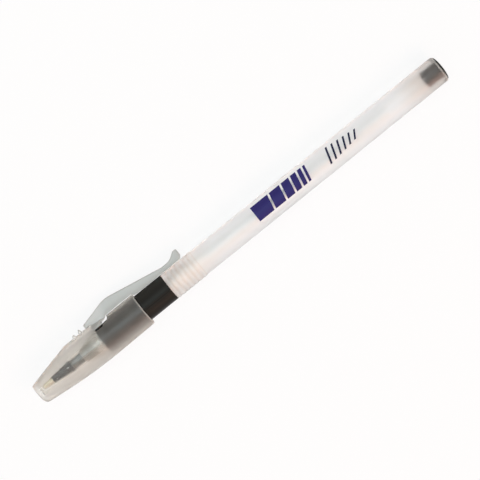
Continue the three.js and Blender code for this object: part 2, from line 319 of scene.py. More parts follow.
def ringed(
    name: str, radius: Array, place: Array, sides: int, closed: bool, drift: Array | float = 0.0
) -> Object:
    """Makes a closed surface of rings round the pen. A point closes each end of an open run of rings.

    Points lie at height = drift + radius cos(angle) and across = radius sin(angle).

    Args:
        name: the piece's name.
        radius: a column of the rings' radii, in millimetres.
        place: a column of their places along the pen.
        sides: points in each ring.
        closed: whether the last ring joins the first, as in a tube's wall.
        drift: how far the rings' centres lie off the axis, towards the clip.

    Returns:
        The new object.
    """
    angles = np.linspace(0, 2 * math.pi, sides, endpoint=False)
    rings = np.stack([drift + radius * np.cos(angles), place + 0 * angles, radius * np.sin(angles)], axis=-1)
    points = rings.reshape(-1, 3)
    faces = ring_faces(len(rings), sides, closed).tolist()
    if not closed:
        first, start = len(points), len(points) - sides
        points = np.concatenate([points, rings[[0, -1]].mean(axis=1)])
        around = [(here, (here + 1) % sides) for here in range(sides)]
        faces += [[first, after, here] for here, after in around]
        faces += [[first + 1, start + here, start + after] for here, after in around]
    return mesh_object(name, points, faces)


def turned(name: str, rows: list[Row], longest: float, closed: bool = True, sides: int = 64) -> Object:
    """Spins an outline round the pen's axis.

    Args:
        name: the piece's name.
        rows: (radius, along, rounding) of each corner. An open outline starts and ends near the axis.
        longest: the longest edge of the outline, in millimetres.
        closed: whether the outline is a loop, as a tube's wall is.
        sides: points in each ring.

    Returns:
        The new object.
    """
    outline = refined(filleted(rows, closed), longest, closed)
    return ringed(name, outline[:, :1], outline[:, 1:], sides, closed)


def bead(name: str, radius: float, drift: float, place: float, size: float) -> Object:
    """A fine round bead along a rim: a small circle carried round a large one.

    Args:
        name: the bead's name.
        radius: the large circle's radius, in millimetres.
        drift: how far its centre lies off the axis, towards the clip.
        place: where it lies along the pen.
        size: the small circle's radius.

    Returns:
        The new object.
    """
    turn = np.linspace(0, 2 * math.pi, BEAD_STEPS, endpoint=False)[:, None]
    reach, places = radius + size * np.cos(turn), place + size * np.sin(turn)
    return ringed(name, reach, places, BEAD_SIDES, True, drift)


def stacked(name: str, layers: Array) -> Object:
    """Joins outlines that lie one behind the other across the pen, and closes both ends.

    Args:
        name: the piece's name.
        layers: an array of outlines, points and (height, along, across).

    Returns:
        The new object.
    """
    rows, count = layers.shape[:2]
    faces = ring_faces(rows, count, closed=False).tolist()
    faces += [list(range(count))[::-1], list(range((rows - 1) * count, rows * count))]
    return mesh_object(name, layers.reshape(-1, 3), faces)


def prism(name: str, outline: Array, half_width: float = BEYOND) -> Object:
    """A cutting block: an outline of (height, along) rows, carried across the pen.

    Args:
        name: the block's name.
        outline: corners in order.
        half_width: how far the block reaches to each side, in millimetres.

    Returns:
        The new object.
    """
    layers = [np.column_stack([outline, np.full(len(outline), side)]) for side in (-half_width, half_width)]
    return stacked(name, np.stack(layers))


def combined(piece: Object, tool: Object, operation: str) -> None:
    """Joins a tool to a piece, cuts it away or keeps what both share, and removes the tool.

    Args:
        piece: the object that changes.
        tool: the other object.
        operation: UNION, DIFFERENCE or INTERSECT.
    """
    change = piece.modifiers.new(operation.lower(), "BOOLEAN")
    change.operation, change.solver, change.object = operation, "EXACT", tool
    bpy.context.view_layer.update()
    evaluated = piece.evaluated_get(bpy.context.evaluated_depsgraph_get())
    mesh = bpy.data.meshes.new_from_object(evaluated)
    piece.modifiers.clear()
    piece.data = mesh
    bpy.data.objects.remove(tool)
    smooth(mesh)


class Bench:
    """A node tree with short ways to add and join nodes."""

    def __init__(self, tree: NodeTree) -> None:
        """Keeps the tree."""
        self.tree = tree

    def feed(self, node: Node, values: dict) -> None:
        """Sets or links a node's inputs.

        Args:
            node: the node.
            values: what each named or numbered input gets: a value, or an output to link from.
        """
        for key, value in values.items():
            if isinstance(value, NodeSocket):
                self.tree.links.new(value, node.inputs[key])
            else:
                node.inputs[key].default_value = value

    def add(self, kind: str, values: dict | None = None, **settings: object) -> Node:
        """Adds a node.

        Args:
            kind: the node's type, such as ShaderNodeMath.
            values: its inputs, as feed takes them.
            settings: the node's own properties.

        Returns:
            The node.
        """
        node = self.tree.nodes.new(kind)
        for key, value in settings.items():
            setattr(node, key, value)
        self.feed(node, values or {})
        return node

    def group(self, tree: NodeTree, values: dict) -> NodeOutputs:
        """Adds a shared group and returns its outputs.

        Args:
            tree: the group's tree.
            values: its inputs, as feed takes them.

        Returns:
            The group's outputs.
        """
        return self.add("ShaderNodeGroup", values, node_tree=tree).outputs

    def maths(self, operation: str, *values: object, clamp: bool = False) -> NodeSocket:
        """Adds a Math node.

        Args:
            operation: such as ADD or MULTIPLY.
            values: a number or an output for each input.
            clamp: whether the result stays between 0 and 1.

        Returns:
            The node's output.
        """
        settings = {"operation": operation, "use_clamp": clamp}
        return self.add("ShaderNodeMath", dict(enumerate(values)), **settings).outputs[0]

    def mix(self, share: object, first: object, second: object, blend: str = "MIX") -> NodeSocket:
        """Blends two colours, each given as three numbers or an output.

        Args:
            share: how much of the change is made, a number or an output.
            first: the colour that changes.
            second: the colour that changes it.
            blend: MIX or MULTIPLY.

        Returns:
            The blended colour's output.
        """
        first, second = (c if isinstance(c, NodeSocket) else (*c, 1) for c in (first, second))
        values = {"Factor": share, "A": first, "B": second}
        return self.add("ShaderNodeMix", values, data_type="RGBA", blend_type=blend).outputs["Result"]

    def stretched(self, value: object, low: object, high: object) -> NodeSocket:
        """Stretches a value so that low gives 0 and high gives 1, with nothing past them.

        Args:
            value: an output.
            low: a number or an output.
            high: a number or an output.

        Returns:
            The stretched value's output.
        """
        values = {"Value": value, "From Min": low, "From Max": high}
        return self.add("ShaderNodeMapRange", values).outputs[0]

    def vectors(self, operation: str, first: object, second: Array) -> NodeOutputs:
        """Adds a Vector Math node.

        Args:
            operation: such as SUBTRACT.
            first: an output.
            second: three numbers.

        Returns:
            The node's outputs.
        """
        values = {0: first, 1: second.tolist()}
        return self.add("ShaderNodeVectorMath", values, operation=operation).outputs

    def place(self) -> NodeSocket:
        """The output that gives a point's place in the frame, in metres."""
        return self.add("ShaderNodeTexCoord").outputs["Object"]

    def rays(self, *kinds: str) -> NodeSocket:
        """Tells whether a ray is of one of some kinds.

        Args:
            kinds: outputs of the Light Path node.

        Returns:
            An output that is 1 for such rays and 0 for others.
        """
        path = self.add("ShaderNodeLightPath").outputs
        found = path[kinds[0]]
        for kind in kinds[1:]:
            found = self.maths("ADD", found, path[kind], clamp=True)
        return found


def new_group(name: str, inputs: dict[str, float], outputs: list[str]) -> tuple[Bench, NodeOutputs]:
    """Starts a shader node group of plain numbers.

    Args:
        name: the group's name.
        inputs: each input and its usual value.
        outputs: the outputs, all plain numbers.

    Returns:
        The group's bench and what its inputs give.
    """
    tree = bpy.data.node_groups.new(name, "ShaderNodeTree")
    for label, value in inputs.items():
        socket = tree.interface.new_socket(name=label, in_out="INPUT", socket_type="NodeSocketFloat")
        socket.default_value = value
    for label in outputs:
        tree.interface.new_socket(name=label, in_out="OUTPUT", socket_type="NodeSocketFloat")
    bench = Bench(tree)
    return bench, bench.add("NodeGroupInput").outputs


class Effects:
    """The shader node groups that several materials share, each built once.

    DRAWN is how the flow streaks are drawn out along the pen, FLOW_RANGE the part of their noise that is
    kept, and WITHIN the middle and half length of the part of a span that holds rings.
    """

    DRAWN = (0.06, 1.0, 1.0)
    FLOW_RANGE = (0.3, 0.7)
    WITHIN = (0.5, 0.499)

    @staticmethod
    @cache
    def grain() -> NodeTree:
        """Fine spark-eroded grain with slow flow streaks along the moulding.

        Returns:
            A group with inputs Size (grains a metre), Streaks and outputs Grain and Flow, both about 0 to 1.
        """
        bench, given = new_group("moulded_grain", {"Size": 6000.0, "Streaks": 900.0}, ["Grain", "Flow"])
        place = bench.place()
        fine = bench.add("ShaderNodeTexNoise", {"Vector": place, "Scale": given["Size"], "Detail": 3.0})
        drawn = bench.add("ShaderNodeMapping", {"Vector": place, "Scale": Effects.DRAWN}).outputs[0]
        flow = bench.add("ShaderNodeTexNoise", {"Vector": drawn, "Scale": given["Streaks"], "Detail": 2.0})
        crisp = bench.stretched(flow.outputs["Fac"], *Effects.FLOW_RANGE)
        bench.add("NodeGroupOutput", {"Grain": fine.outputs["Fac"], "Flow": crisp})
        return bench.tree

    @staticmethod
    @cache
    def along() -> NodeTree:
        """How far a point lies along the pen, as a share of a span: (along - From) / (To - From), 0 to 1.

        Returns:
            A group with inputs From and To, in millimetres from the cap's tip, and output Share.
        """
        bench, given = new_group("place_along", {"From": 0.0, "To": 100.0}, ["Share"])
        split = bench.add("ShaderNodeSeparateXYZ", {0: bench.place()})
        along = bench.maths("DIVIDE", bench.maths("SUBTRACT", float(AXES.tip[0]), split.outputs["X"]), MM)
        bench.add("NodeGroupOutput", {"Share": bench.stretched(along, given["From"], given["To"])})
        return bench.tree

    @staticmethod
    @cache
    def rings() -> NodeTree:
        """Where shade is painted in the grooves between equal rings: 1 - sin(pi turns) squared, where turns
        runs from 0 to Count.

        Returns:
            A group with inputs Start, End and Count and output GrooveShade, 1 in the grooves and 0 off the
            rings.
        """
        bench, given = new_group("ring_groove_shade", {"Start": 0.0, "End": 10.0, "Count": 7.0}, ["GrooveShade"])
        share = bench.group(Effects.along(), {"From": given["Start"], "To": given["End"]})["Share"]
        turns = bench.maths("MULTIPLY", share, given["Count"])
        swell = bench.maths("POWER", bench.maths("SINE", bench.maths("MULTIPLY", turns, math.pi)), 2.0)
        inside = bench.maths("COMPARE", share, *Effects.WITHIN)
        groove_shade = bench.maths("MULTIPLY", bench.maths("SUBTRACT", 1.0, swell), inside)
        bench.add("NodeGroupOutput", {"GrooveShade": groove_shade})
        return bench.tree

    @staticmethod
    @cache
    def parting() -> NodeTree:
        """The line that a mould's two halves leave along the pen: 1 at the angle, and 0 from Width away on.

        The angle round the pen is counted from the clip, towards the side that the photo shows.

        Returns:
            A group with inputs Angle and Width, in radians, and output Line.
        """
        bench, given = new_group("parting_line", {"Angle": 0.0, "Width": 0.02}, ["Line"])
        offset = bench.vectors("SUBTRACT", bench.place(), AXES.tip)[0]
        side, height = (bench.vectors("DOT_PRODUCT", offset, way) for way in (-AXES.across, AXES.out))
        angle = bench.maths("ARCTAN2", side["Value"], height["Value"])
        away = bench.maths("ABSOLUTE", bench.maths("SUBTRACT", angle, given["Angle"]))
        line = bench.maths("SUBTRACT", 1.0, bench.maths("DIVIDE", away, given["Width"]), clamp=True)
        bench.add("NodeGroupOutput", {"Line": line})
        return bench.tree


def new_material(name: str) -> tuple[Material, Bench, Node]:
    """Starts a material with one Principled shader.

    Args:
        name: the material's name.

    Returns:
        The material, its bench and the shader.
    """
    material = bpy.data.materials.new(name)
    material.use_nodes = True
    shader = next(node for node in material.node_tree.nodes if node.type == "BSDF_PRINCIPLED")
    return material, Bench(material.node_tree), shader


@dataclass(frozen=True)
class MouldedPlastic:
    """A moulded plastic, from milky see-through to solid.

    Args:
        name: the material's name.
        colour: its colour, linear.
        depth_colour: the colour where the flow is thick, linear.
        roughness: the mean roughness.
        clear: how much of the light that enters passes through, 0 to 1.
        shine: the Principled shader's specular level.
        ior: the refractive index.
        grain: the bump's height, in metres.
        grain_size: grains a metre.
        streaks: flow streaks a metre, counted round the pen.
        spread: how far the roughness follows the streaks.
        tones_and_shade: what the colour is multiplied by at places along the pen, in millimetres from the
            cap's
        tip: the plastic's own tone, and painted shade where dark parts inside dim a see-through wall.
        blurs: what the roughness gains at places along the pen.
        grooves: where rings start and end along the pen and how many there are.
        groove_shade_colour: painted shade, what the colour is multiplied by in the rings' grooves.
        edge_colour: the colour where the surface turns away, and thick walls look milky, linear.
        edge_roughness: what the roughness gains there.
        edge_range: how far the surface has turned away where that starts and where it is full.
        parting: angles of parting lines round the pen, from the clip, in degrees.
        parting_width: how far the parting lines reach to each side, in radians.
        parting_tone: what the colour is multiplied by on the parting lines.
        parting_depth: how many grains deep the parting lines are.
    """

    name: str
    colour: Colour
    depth_colour: Colour
    roughness: float
    clear: float = 0.0
    shine: float = 0.5
    ior: float = 1.49
    grain: float = 2e-6
    grain_size: float = 6000.0
    streaks: float = 900.0
    spread: float = 0.03
    tones_and_shade: tuple[tuple[float, Colour], ...] = ()
    blurs: tuple[tuple[float, float], ...] = ()
    grooves: tuple[float, float, int] | None = None
    groove_shade_colour: Colour = WHITE
    edge_colour: Colour | None = None
    edge_roughness: float = 0.0
    edge_range: tuple[float, float] = (0.08, 0.55)
    parting: tuple[float, ...] = ()
    parting_width: float = 0.02
    parting_tone: Colour = (0.35, 0.35, 0.35)
    parting_depth: float = 12.0

    def ramp(self, bench: Bench, stops: tuple[tuple[float, Colour], ...]) -> NodeSocket:
        """A colour that changes along the pen.

        Args:
            bench: the material's bench.
            stops: the colour at each place along the pen, in millimetres from the cap's tip.

        Returns:
            The colour's output.
        """
        first, last = stops[0][0], stops[-1][0]
        share = bench.group(Effects.along(), {"From": first, "To": last})["Share"]
        ramp = bench.add("ShaderNodeValToRGB", {0: share})
        marks = ramp.color_ramp.elements
        for number, (place, tone) in enumerate(stops):
            position = (place - first) / (last - first)
            mark = marks[number] if number < 2 else marks.new(position)
            mark.position, mark.color = position, (*tone, 1)
        return ramp.outputs["Color"]

    def material(self) -> Material:
        """Builds the material.

        Returns:
            The material: colour and roughness follow the flow, and the normal follows the grain.
        """
        material, bench, shader = new_material(f"{self.name}_finish")
        effect = bench.group(Effects.grain(), {"Size": self.grain_size, "Streaks": self.streaks})
        colour = bench.mix(effect["Flow"], self.colour, self.depth_colour)
        spread = bench.maths("MULTIPLY_ADD", effect["Flow"], self.spread, self.roughness - self.spread / 2)
        height = effect["Grain"]
        # Tones along the pen: the plastic's own tone, and painted shade where dark parts lie behind a
        # see-through wall.
        if self.tones_and_shade:
            colour = bench.mix(1.0, colour, self.ramp(bench, self.tones_and_shade), "MULTIPLY")
        # Painted shade in the rings' grooves.
        if self.grooves:
            groove_shade = bench.group(Effects.rings(), dict(zip(("Start", "End", "Count"), self.grooves)))
            colour = bench.mix(groove_shade["GrooveShade"], colour, self.groove_shade_colour, "MULTIPLY")
        if self.blurs:
            stops = tuple((place, (gain, gain, gain)) for place, gain in self.blurs)
            spread = bench.maths("ADD", spread, self.ramp(bench, stops))
        if self.edge_colour:
            facing = bench.add("ShaderNodeLayerWeight", {"Blend": 0.5}).outputs["Facing"]
            edge = bench.stretched(facing, *self.edge_range)
            colour = bench.mix(edge, colour, self.edge_colour)
            spread = bench.maths("ADD", spread, bench.maths("MULTIPLY", edge, self.edge_roughness))
        for angle in self.parting:
            values = {"Angle": math.radians(angle), "Width": self.parting_width}
            line = bench.group(Effects.parting(), values)["Line"]
            colour = bench.mix(line, colour, self.parting_tone, "MULTIPLY")
            height = bench.maths("SUBTRACT", height, bench.maths("MULTIPLY", line, self.parting_depth))
        bump = bench.add("ShaderNodeBump", {"Height": height, "Distance": self.grain, "Strength": 1.0})
        bench.feed(shader, {"Base Color": colour, "Roughness": spread, "Normal": bump.outputs[0]})
        glass = {"Transmission Weight": self.clear, "IOR": self.ior, "Specular IOR Level": self.shine}
        bench.feed(shader, glass)
        return material


@dataclass(frozen=True)
class TurnedMetal:
    """A turned metal with a fine grain.

    Args:
        name: the material's name.
        colour: its colour, linear.
        roughness: the mean roughness.
        grain_size: grains a metre.
        spread: how far the roughness follows the grain.
        grain: the bump's height, in metres.
    """

    name: str
    colour: Colour
    roughness: float
    grain_size: float = 9000.0
    spread: float = 0.2
    grain: float = 1e-6

    def material(self) -> Material:
        """Builds the material.

        Returns:
            The material, whose roughness and normal follow the grain.
        """
        material, bench, shader = new_material(f"{self.name}_finish")
        grain = bench.group(Effects.grain(), {"Size": self.grain_size})["Grain"]
        spread = bench.maths("MULTIPLY_ADD", grain, self.spread, self.roughness - self.spread / 2)
        bump = bench.add("ShaderNodeBump", {"Height": grain, "Distance": self.grain, "Strength": 1.0})
        bench.feed(shader, {"Roughness": spread, "Normal": bump.outputs[0]})
        bench.feed(shader, {"Base Color": (*self.colour, 1), "Metallic": 1.0})
        return material


FROSTED_CAP = MouldedPlastic(
    "frosted_cap",
    (0.93, 0.91, 0.87),
    (0.865, 0.84, 0.80),
    0.26,
    clear=0.93,
    shine=0.2,
    ior=1.36,
    grain=1.5e-7,
    # Painted shade: the cap is a little darker over the refill, and darker again from 27 mm over the black
    # section, where less light comes through from behind.
    tones_and_shade=(
        (0.0, WHITE),
        (6.0, (0.99, 0.985, 0.98)),
        (14.0, (0.95, 0.94, 0.935)),
        (23.0, (0.95, 0.94, 0.935)),
        (27.0, (0.76, 0.745, 0.735)),
        (38.6, (0.76, 0.745, 0.735)),
    ),
    streaks=1500.0,
    blurs=((0.0, 0.0), (23.0, 0.0), (25.0, 0.12), (38.6, 0.12)),
    edge_colour=(0.77, 0.74, 0.695),
    edge_roughness=0.4,
)
# Painted highlight: the bead on the cap's rim is paler and less see-through than the cap, and stands for the
# light that the rim's rounded edge catches.
CAP_RIM_HIGHLIGHT = MouldedPlastic(
    "cap_rim_highlight",
    (0.80, 0.77, 0.71),
    (0.76, 0.73, 0.67),
    0.3,
    clear=0.3,
    shine=0.4,
    grain=5e-7,
)
FROSTED_BARREL = MouldedPlastic(
    "frosted_barrel",
    (0.99, 0.99, 0.99),
    (0.96, 0.955, 0.95),
    0.32,
    clear=0.93,
    ior=1.38,
    # A slight warm tint over the rings. Towards the tail the tones are painted shade, darker and warmer
    # where the plug's black stem lies behind the wall.
    tones_and_shade=(
        (48.0, (1.0, 0.985, 0.97)),
        (58.0, (1.0, 0.985, 0.97)),
        (66.0, WHITE),
        (132.0, WHITE),
        (140.0, (0.91, 0.875, 0.845)),
        (147.4, (0.79, 0.74, 0.70)),
    ),
    streaks=1100.0,
    blurs=((48.0, 0.28), (58.0, 0.28), (66.0, 0.0), (147.4, 0.0)),
    # Painted shade: the rings' grooves are darkened in the colour.
    grooves=(48.28, 59.06, 7),
    groove_shade_colour=(0.90, 0.86, 0.83),
)
# Painted highlight: the bead at the barrel's end is paler and less see-through than the barrel, and stands
# for the light on its rounded end.
BARREL_END_HIGHLIGHT = MouldedPlastic("barrel_end_highlight", (0.82, 0.79, 0.75), (0.79, 0.76, 0.72), 0.35, clear=0.4, shine=0.3)
FROSTED_CLIP = MouldedPlastic(
    "frosted_clip",
    (0.90, 0.885, 0.85),
    (0.84, 0.825, 0.79),
    0.32,
    clear=0.76,
    shine=0.3,
    tones_and_shade=(
        (22.0, (0.80, 0.80, 0.79)),
        (28.0, (0.77, 0.77, 0.765)),
        (30.0, (0.67, 0.68, 0.675)),
        (57.0, (0.67, 0.68, 0.675)),
    ),
)
PALE_PLASTIC = MouldedPlastic(
    "pale_plastic",
    (0.93, 0.92, 0.89),
    (0.90, 0.89, 0.86),
    0.3,
    clear=0.45,
    shine=0.3,
    # Painted shade: the thin cone is darker where the refill inside lets less light through it; the solid
    # collar from 21.6 mm keeps the full colour.
    tones_and_shade=(
        (15.5, (0.62, 0.62, 0.60)),
        (20.6, (0.72, 0.72, 0.70)),
        (21.6, WHITE),
        (25.0, WHITE),
    ),
)
TUBE_PLASTIC = MouldedPlastic(
    "tube_plastic",
    (0.98, 0.975, 0.96),
    (0.96, 0.955, 0.94),
    0.4,
    clear=0.05,
    tones_and_shade=((17.0, (0.165, 0.17, 0.165)), (21.0, (0.5, 0.5, 0.49)), (26.0, WHITE)),
)
BLACK_PLASTIC = MouldedPlastic(
    "black_plastic",
    (0.013, 0.012, 0.010),
    (0.018, 0.016, 0.012),
    0.44,
    shine=0.15,
    grain=3e-6,
    parting=(100.0, -80.0),
    parting_width=0.05,
)
DARK_PLASTIC = MouldedPlastic("dark_plastic", (0.032, 0.032, 0.032), (0.038, 0.038, 0.038), 0.45, shine=0.2)
BLACK_INK = MouldedPlastic("black_ink", (0.004, 0.004, 0.006), (0.006, 0.006, 0.009), 0.2)
PRINT_INDIGO = MouldedPlastic("print_indigo", (0.018, 0.012, 0.13), (0.022, 0.015, 0.15), 0.5, shine=0.3)
PRINT_NAVY = MouldedPlastic("print_navy", (0.01, 0.012, 0.05), (0.013, 0.015, 0.06), 0.5, shine=0.3)
TIP_BRASS = TurnedMetal("tip_brass", (0.74, 0.67, 0.54), 0.45)
BALL_STEEL = TurnedMetal("ball_steel", (0.6, 0.61, 0.62), 0.15)
Finish = MouldedPlastic | TurnedMetal


@cache
def made(finish: Finish) -> Material:
    """The material of a finish, built once."""
    return finish.material()


def dress(piece: Object, finish: Finish, body: Body, node: str | None) -> None:
    """Gives a piece its finish, body and slot, and hides the CAD node that it stands for.

    Args:
        piece: the object.
        finish: what it is made of.
        body: the body that it moves with.
        node: the CAD node that it stands for, if any.
    """
    piece.data.materials.clear()
    piece.data.materials.append(made(finish))
    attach(piece, body.value)
    if node:
        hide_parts(node)
    LOG.info("%s: %d faces on %s", piece.name, len(piece.data.polygons), body.value)


@dataclass
class Barrel:
    """The frosted barrel with its rings and its end's bead, whose paler finish is a painted highlight on the
    rounded end, and its tail plug. Sizes in millimetres.
    """

    radius: float = 4.1
    wall: float = 1.5
    rings: int = 7
    ring_pitch: float = 1.54
    ring_height: float = 0.18
    ring_sharpness: float = 1.5
    ring_steps: int = 14
    plug_radius: float = 3.7
    plug_rim: float = 0.25
    plug_wall: float = 0.9
    plug_fit: float = 0.03
    plug_rings: int = 16
    sides: int = 128
    nose_radius: float = 2.9
    nose_bore: float = 1.95
    nose_length: float = 9.0
    bore_taper: float = 1.8
    tail_run: float = 2.0
    lip: float = 0.18
    lip_inset: float = 0.42
    lip_rise: float = 0.03

    def ring_rows(self, start: float) -> list[Row]:
        """The rings' outline: radius plus height times |sin(pi place / pitch)| to the sharpness.

        Args:
            start: where the first ring begins along the pen.

        Returns:
            (radius, along, rounding) rows, without rounding.
        """
        place = np.linspace(0, self.rings * self.ring_pitch, self.rings * self.ring_steps + 1)
        swell = np.abs(np.sin(math.pi * place / self.ring_pitch)) ** self.ring_sharpness
        return sharp(self.radius + self.ring_height * swell, start + place)

    def build(self) -> None:
        """Builds and dresses the barrel, its bead and the tail plug."""
        nose, end = AXES.span("barrel")
        front = nose + self.nose_length
        bore = self.radius - self.wall
        inside = front + self.wall
        shell = [
            (self.nose_bore, front, 0),
            (self.nose_bore, nose, Corner.CRISP),
            (self.nose_radius, nose, Corner.SOFT),
            (self.nose_radius, front, 0),
            *self.ring_rows(front),
            (self.radius, end - self.tail_run, 0),
            (self.radius, end, Corner.SOFT),
            (bore, end, Corner.CRISP),
            (bore, end - self.tail_run, 0),
            (bore, inside + self.bore_taper, 0),
            (self.nose_bore, inside, 0),
        ]
        dress(turned("barrel_shell", shell, 1.5, sides=self.sides), FROSTED_BARREL, Body.PEN, "barrel")
        rim = self.radius + self.lip_rise - self.lip
        # The bead follows the barrel's rounded end; its finish is a painted highlight.
        lip = bead("barrel_end_highlight_bead", rim, 0.0, end - self.lip_inset, self.lip)
        dress(lip, BARREL_END_HIGHLIGHT, Body.PEN, None)
        self.build_plug(bore, end)

    def build_plug(self, bore: float, seat: float) -> None:
        """Builds and dresses the tail plug: a hollow stem and a domed head.

        Args:
            bore: the barrel's bore radius.
            seat: where the barrel ends along the pen.
        """
        front, end = AXES.span("tail_plug")
        stem = bore - self.plug_fit
        hollow = stem - self.plug_wall
        rim = seat + self.plug_rim
        sweep = np.linspace(0, math.pi / 2, self.plug_rings)[1:-1]
        plug = [
            (NEAR_AXIS, seat, 0),
            (hollow, seat, Corner.CRISP),
            (hollow, front, Corner.CRISP),
            (stem, front, Corner.SOFT),
            (stem, seat + self.plug_fit, 0),
            (self.plug_radius, seat + self.plug_fit, Corner.KEEN),
            (self.plug_radius, rim, 0),
            *sharp(self.plug_radius * np.cos(sweep), rim + (end - rim) * np.sin(sweep)),
            (NEAR_AXIS, end, 0),
        ]
        piece = turned("tail_plug_moulding", plug, 1.2, False, self.sides)
        dress(piece, BLACK_PLASTIC, Body.PEN, "tail_plug")


@dataclass
class BarrelPrint:
    """A plain printed ornament: a row of slanted bars that grow thinner, and a rank of thin ticks."""

    radius: float = 4.1
    film: float = 0.012
    steps: int = 24
    start: float = 80.1
    bar_widths: tuple[float, ...] = (5.2, 3.7, 2.7, 1.9, 1.3, 0.8)
    bar_gap: float = 0.62
    bar_slant: float = 1.1
    low_angle: float = math.radians(-23)
    high_angle: float = math.radians(49)
    tick_start: float = 105.8
    tick_pitch: float = 1.9
    tick_count: int = 6
    tick_width: float = 0.62
    tick_slant: float = 1.6
    tick_loss: float = 0.1

    def patch(self, name: str, corners: Array, finish: Finish) -> None:
        """Builds and dresses a thin film that follows the barrel, from four corners of (angle, along).

        Points between the corners come from blending them both ways. The film's two faces lie a little
        outside and a little inside the barrel's radius, and a strip joins them round the edge.

        Args:
            name: the piece's name.
            corners: the low near, low far, high far and high near corners.
            finish: the print's colour.
        """
        share = np.linspace(0, 1, self.steps)
        low = corners[0] + (corners[1] - corners[0]) * share[:, None]
        high = corners[3] + (corners[2] - corners[3]) * share[:, None]
        flat = low[:, None] + (high - low)[:, None] * share[None, :, None]
        angle, place = flat[..., 0], flat[..., 1]
        layers = [
            np.stack([reach * np.sin(angle), place, -reach * np.cos(angle)], axis=-1).reshape(-1, 3)
            for reach in (self.radius + self.film, self.radius - self.film)
        ]
        under = self.steps * self.steps
        grid = np.arange(under).reshape(self.steps, self.steps)
        cells = [grid[:-1, :-1], grid[1:, :-1], grid[1:, 1:], grid[:-1, 1:]]
        quads = np.stack(cells, axis=-1).reshape(-1, 4)
        edge = np.concatenate([grid[:-1, 0], grid[-1, :-1], grid[:0:-1, -1], grid[0, :0:-1]])
        after = np.roll(edge, -1)
        strip = np.stack([edge, edge + under, after + under, after], axis=-1)
        faces = np.concatenate([quads, quads[:, ::-1] + under, strip]).tolist()
        piece = mesh_object(name, np.concatenate(layers), faces)
        dress(piece, finish, Body.PEN, None)

    def build(self) -> None:
        """Builds and dresses the bars and the ticks."""
        low, high = self.low_angle, self.high_angle
        near = self.start
        for number, width in enumerate(self.bar_widths):
            far = near + width
            lean = self.bar_slant if number else 0.0
            corners = np.array([(low, near), (low, far), (high, far + self.bar_slant), (high, near + lean)])
            near = far + self.bar_gap
            self.patch(f"print_bar_{number + 1}", corners, PRINT_INDIGO)
        middle = (low + high) / 2
        for number in range(self.tick_count):
            reach = (high - low) / 2 * (1 - self.tick_loss * number)
            near = self.tick_start + self.tick_pitch * number
            far = near + self.tick_width
            ends = [(middle + reach, far + self.tick_slant), (middle + reach, near + self.tick_slant)]
            corners = np.array([(middle - reach, near), (middle - reach, far), *ends])
            self.patch(f"print_tick_{number + 1}", corners, PRINT_NAVY)


@dataclass
class FrontSection:
    """The black section between the cap's seat and the barrel, and the pale nose cone in its front."""

    seat_radius: float = 3.82
    grip_radius: float = 4.2
    rear_socket: float = 2.93
    rear_depth: float = 9.0
    socket_radius: float = 2.33
    socket_depth: float = 6.05
    bore: float = 1.75
    room: float = 0.05
    cone_tip_wall: float = 0.22
    cone_bore: float = 1.55
    cone_spigot: float = 2.3
    collar_radius: float = 3.45
    collar_length: float = 2.2

    def build(self) -> None:
        """Builds and dresses the section and the nose cone."""
        front, end = AXES.span("front_section")
        rim = AXES.span("cap")[1] + self.room
        keen, crisp, soft = Corner.KEEN, Corner.CRISP, Corner.SOFT
        section = [
            (self.socket_radius, front, crisp),
            (self.seat_radius, front, soft),
            (self.seat_radius, rim, keen),
            (self.grip_radius, rim, keen),
            (self.grip_radius, end, crisp),
            (self.rear_socket, end, crisp),
            (self.rear_socket, end - self.rear_depth, keen),
            (self.bore, end - self.rear_depth, keen),
            (self.bore, front + self.socket_depth, keen),
            (self.socket_radius, front + self.socket_depth, keen),
        ]
        piece = turned("front_section_moulding", section, 1.5, sides=128)
        dress(piece, BLACK_PLASTIC, Body.PEN, "front_section")
        tip, spigot_end = AXES.span("nose_cone")
        seat = front - self.room
        cone = [
            (self.cone_bore, tip, keen),
            (self.cone_bore + self.cone_tip_wall, tip, keen),
            (self.collar_radius, seat - self.collar_length, soft),
            (self.collar_radius, seat, crisp),
            (self.cone_spigot, seat, keen),
            (self.cone_spigot, spigot_end, soft),
            (self.cone_bore, spigot_end, keen),
        ]
        dress(turned("nose_cone_moulding", cone, 1.0, sides=96), PALE_PLASTIC, Body.PEN, "nose_cone")


